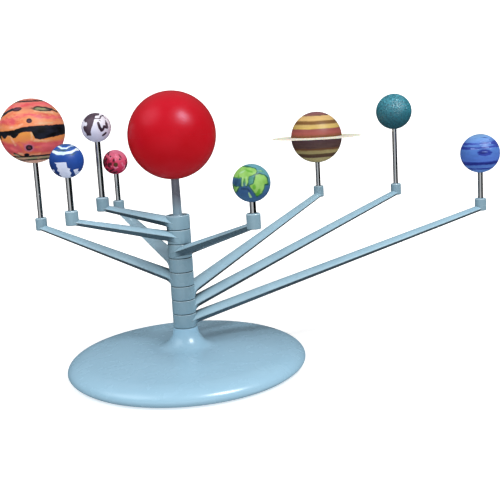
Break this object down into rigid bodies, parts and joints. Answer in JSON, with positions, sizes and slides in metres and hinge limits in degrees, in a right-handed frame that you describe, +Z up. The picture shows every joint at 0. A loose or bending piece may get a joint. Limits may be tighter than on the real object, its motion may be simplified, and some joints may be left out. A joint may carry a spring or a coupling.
{
  "type": "orrery",
  "caption": "Table-top orrery: painted planets on thin rods, each on its own arm that turns about one column over a round weighted base, with a red sun on top.",
  "frame": {"origin": "centre of the standing plane under the base, on the column's axis", "axes": "+Z up along the column, +X to the viewer's right in the resting pose"},
  "size_m": [0.385, 0.2654, 0.1957],
  "materials": {
    "grey_blue_plastic": "satin",
    "zinc_steel": "satin",
    "polished_steel": "polished",
    "black_rubber": "matte",
    "sun_red": "satin",
    "ring_cream": "satin",
    "mercury_paint": "satin",
    "venus_paint": "satin",
    "earth_paint": "satin",
    "mars_paint": "satin",
    "jupiter_paint": "satin",
    "saturn_paint": "satin",
    "uranus_paint": "satin",
    "neptune_paint": "satin"
  },
  "bodies": {
    "stand": {"base_shell": "grey_blue_plastic", "base_cover": "grey_blue_plastic", "ballast_plate": "zinc_steel", "rubber_feet": "black_rubber", "base_screws": "zinc_steel", "spindle": "grey_blue_plastic", "spindle_screws": "zinc_steel", "sun_post": "grey_blue_plastic", "sun_upper": "sun_red", "sun_lower": "sun_red"},
    "mercury_orbit": {"mercury_arm": "grey_blue_plastic", "mercury_rod": "polished_steel", "mercury_upper": "mercury_paint", "mercury_lower": "mercury_paint"},
    "venus_orbit": {"venus_arm": "grey_blue_plastic", "venus_rod": "polished_steel", "venus_upper": "venus_paint", "venus_lower": "venus_paint"},
    "earth_orbit": {"earth_arm": "grey_blue_plastic", "earth_rod": "polished_steel", "earth_upper": "earth_paint", "earth_lower": "earth_paint"},
    "mars_orbit": {"mars_arm": "grey_blue_plastic", "mars_rod": "polished_steel", "mars_upper": "mars_paint", "mars_lower": "mars_paint"},
    "jupiter_orbit": {"jupiter_arm": "grey_blue_plastic", "jupiter_rod": "polished_steel", "jupiter_upper": "jupiter_paint", "jupiter_lower": "jupiter_paint"},
    "saturn_orbit": {"saturn_arm": "grey_blue_plastic", "saturn_rod": "polished_steel", "saturn_upper": "saturn_paint", "saturn_lower": "saturn_paint", "saturn_ring": "ring_cream"},
    "uranus_orbit": {"uranus_arm": "grey_blue_plastic", "uranus_rod": "polished_steel", "uranus_upper": "uranus_paint", "uranus_lower": "uranus_paint"},
    "neptune_orbit": {"neptune_arm": "grey_blue_plastic", "neptune_rod": "polished_steel", "neptune_upper": "neptune_paint", "neptune_lower": "neptune_paint"}
  },
  "joints": [
    {"name": "mercury_turn", "type": "hinge", "parent": "stand", "child": "mercury_orbit", "pos_m": [0, 0, 0], "axis": [0, 0, 1], "continuous": true},
    {"name": "venus_turn", "type": "hinge", "parent": "stand", "child": "venus_orbit", "pos_m": [0, 0, 0], "axis": [0, 0, 1], "continuous": true},
    {"name": "earth_turn", "type": "hinge", "parent": "stand", "child": "earth_orbit", "pos_m": [0, 0, 0], "axis": [0, 0, 1], "continuous": true},
    {"name": "mars_turn", "type": "hinge", "parent": "stand", "child": "mars_orbit", "pos_m": [0, 0, 0], "axis": [0, 0, 1], "continuous": true},
    {"name": "jupiter_turn", "type": "hinge", "parent": "stand", "child": "jupiter_orbit", "pos_m": [0, 0, 0], "axis": [0, 0, 1], "continuous": true},
    {"name": "saturn_turn", "type": "hinge", "parent": "stand", "child": "saturn_orbit", "pos_m": [0, 0, 0], "axis": [0, 0, 1], "continuous": true},
    {"name": "uranus_turn", "type": "hinge", "parent": "stand", "child": "uranus_orbit", "pos_m": [0, 0, 0], "axis": [0, 0, 1], "continuous": true},
    {"name": "neptune_turn", "type": "hinge", "parent": "stand", "child": "neptune_orbit", "pos_m": [0, 0, 0], "axis": [0, 0, 1], "continuous": true}
  ]
}
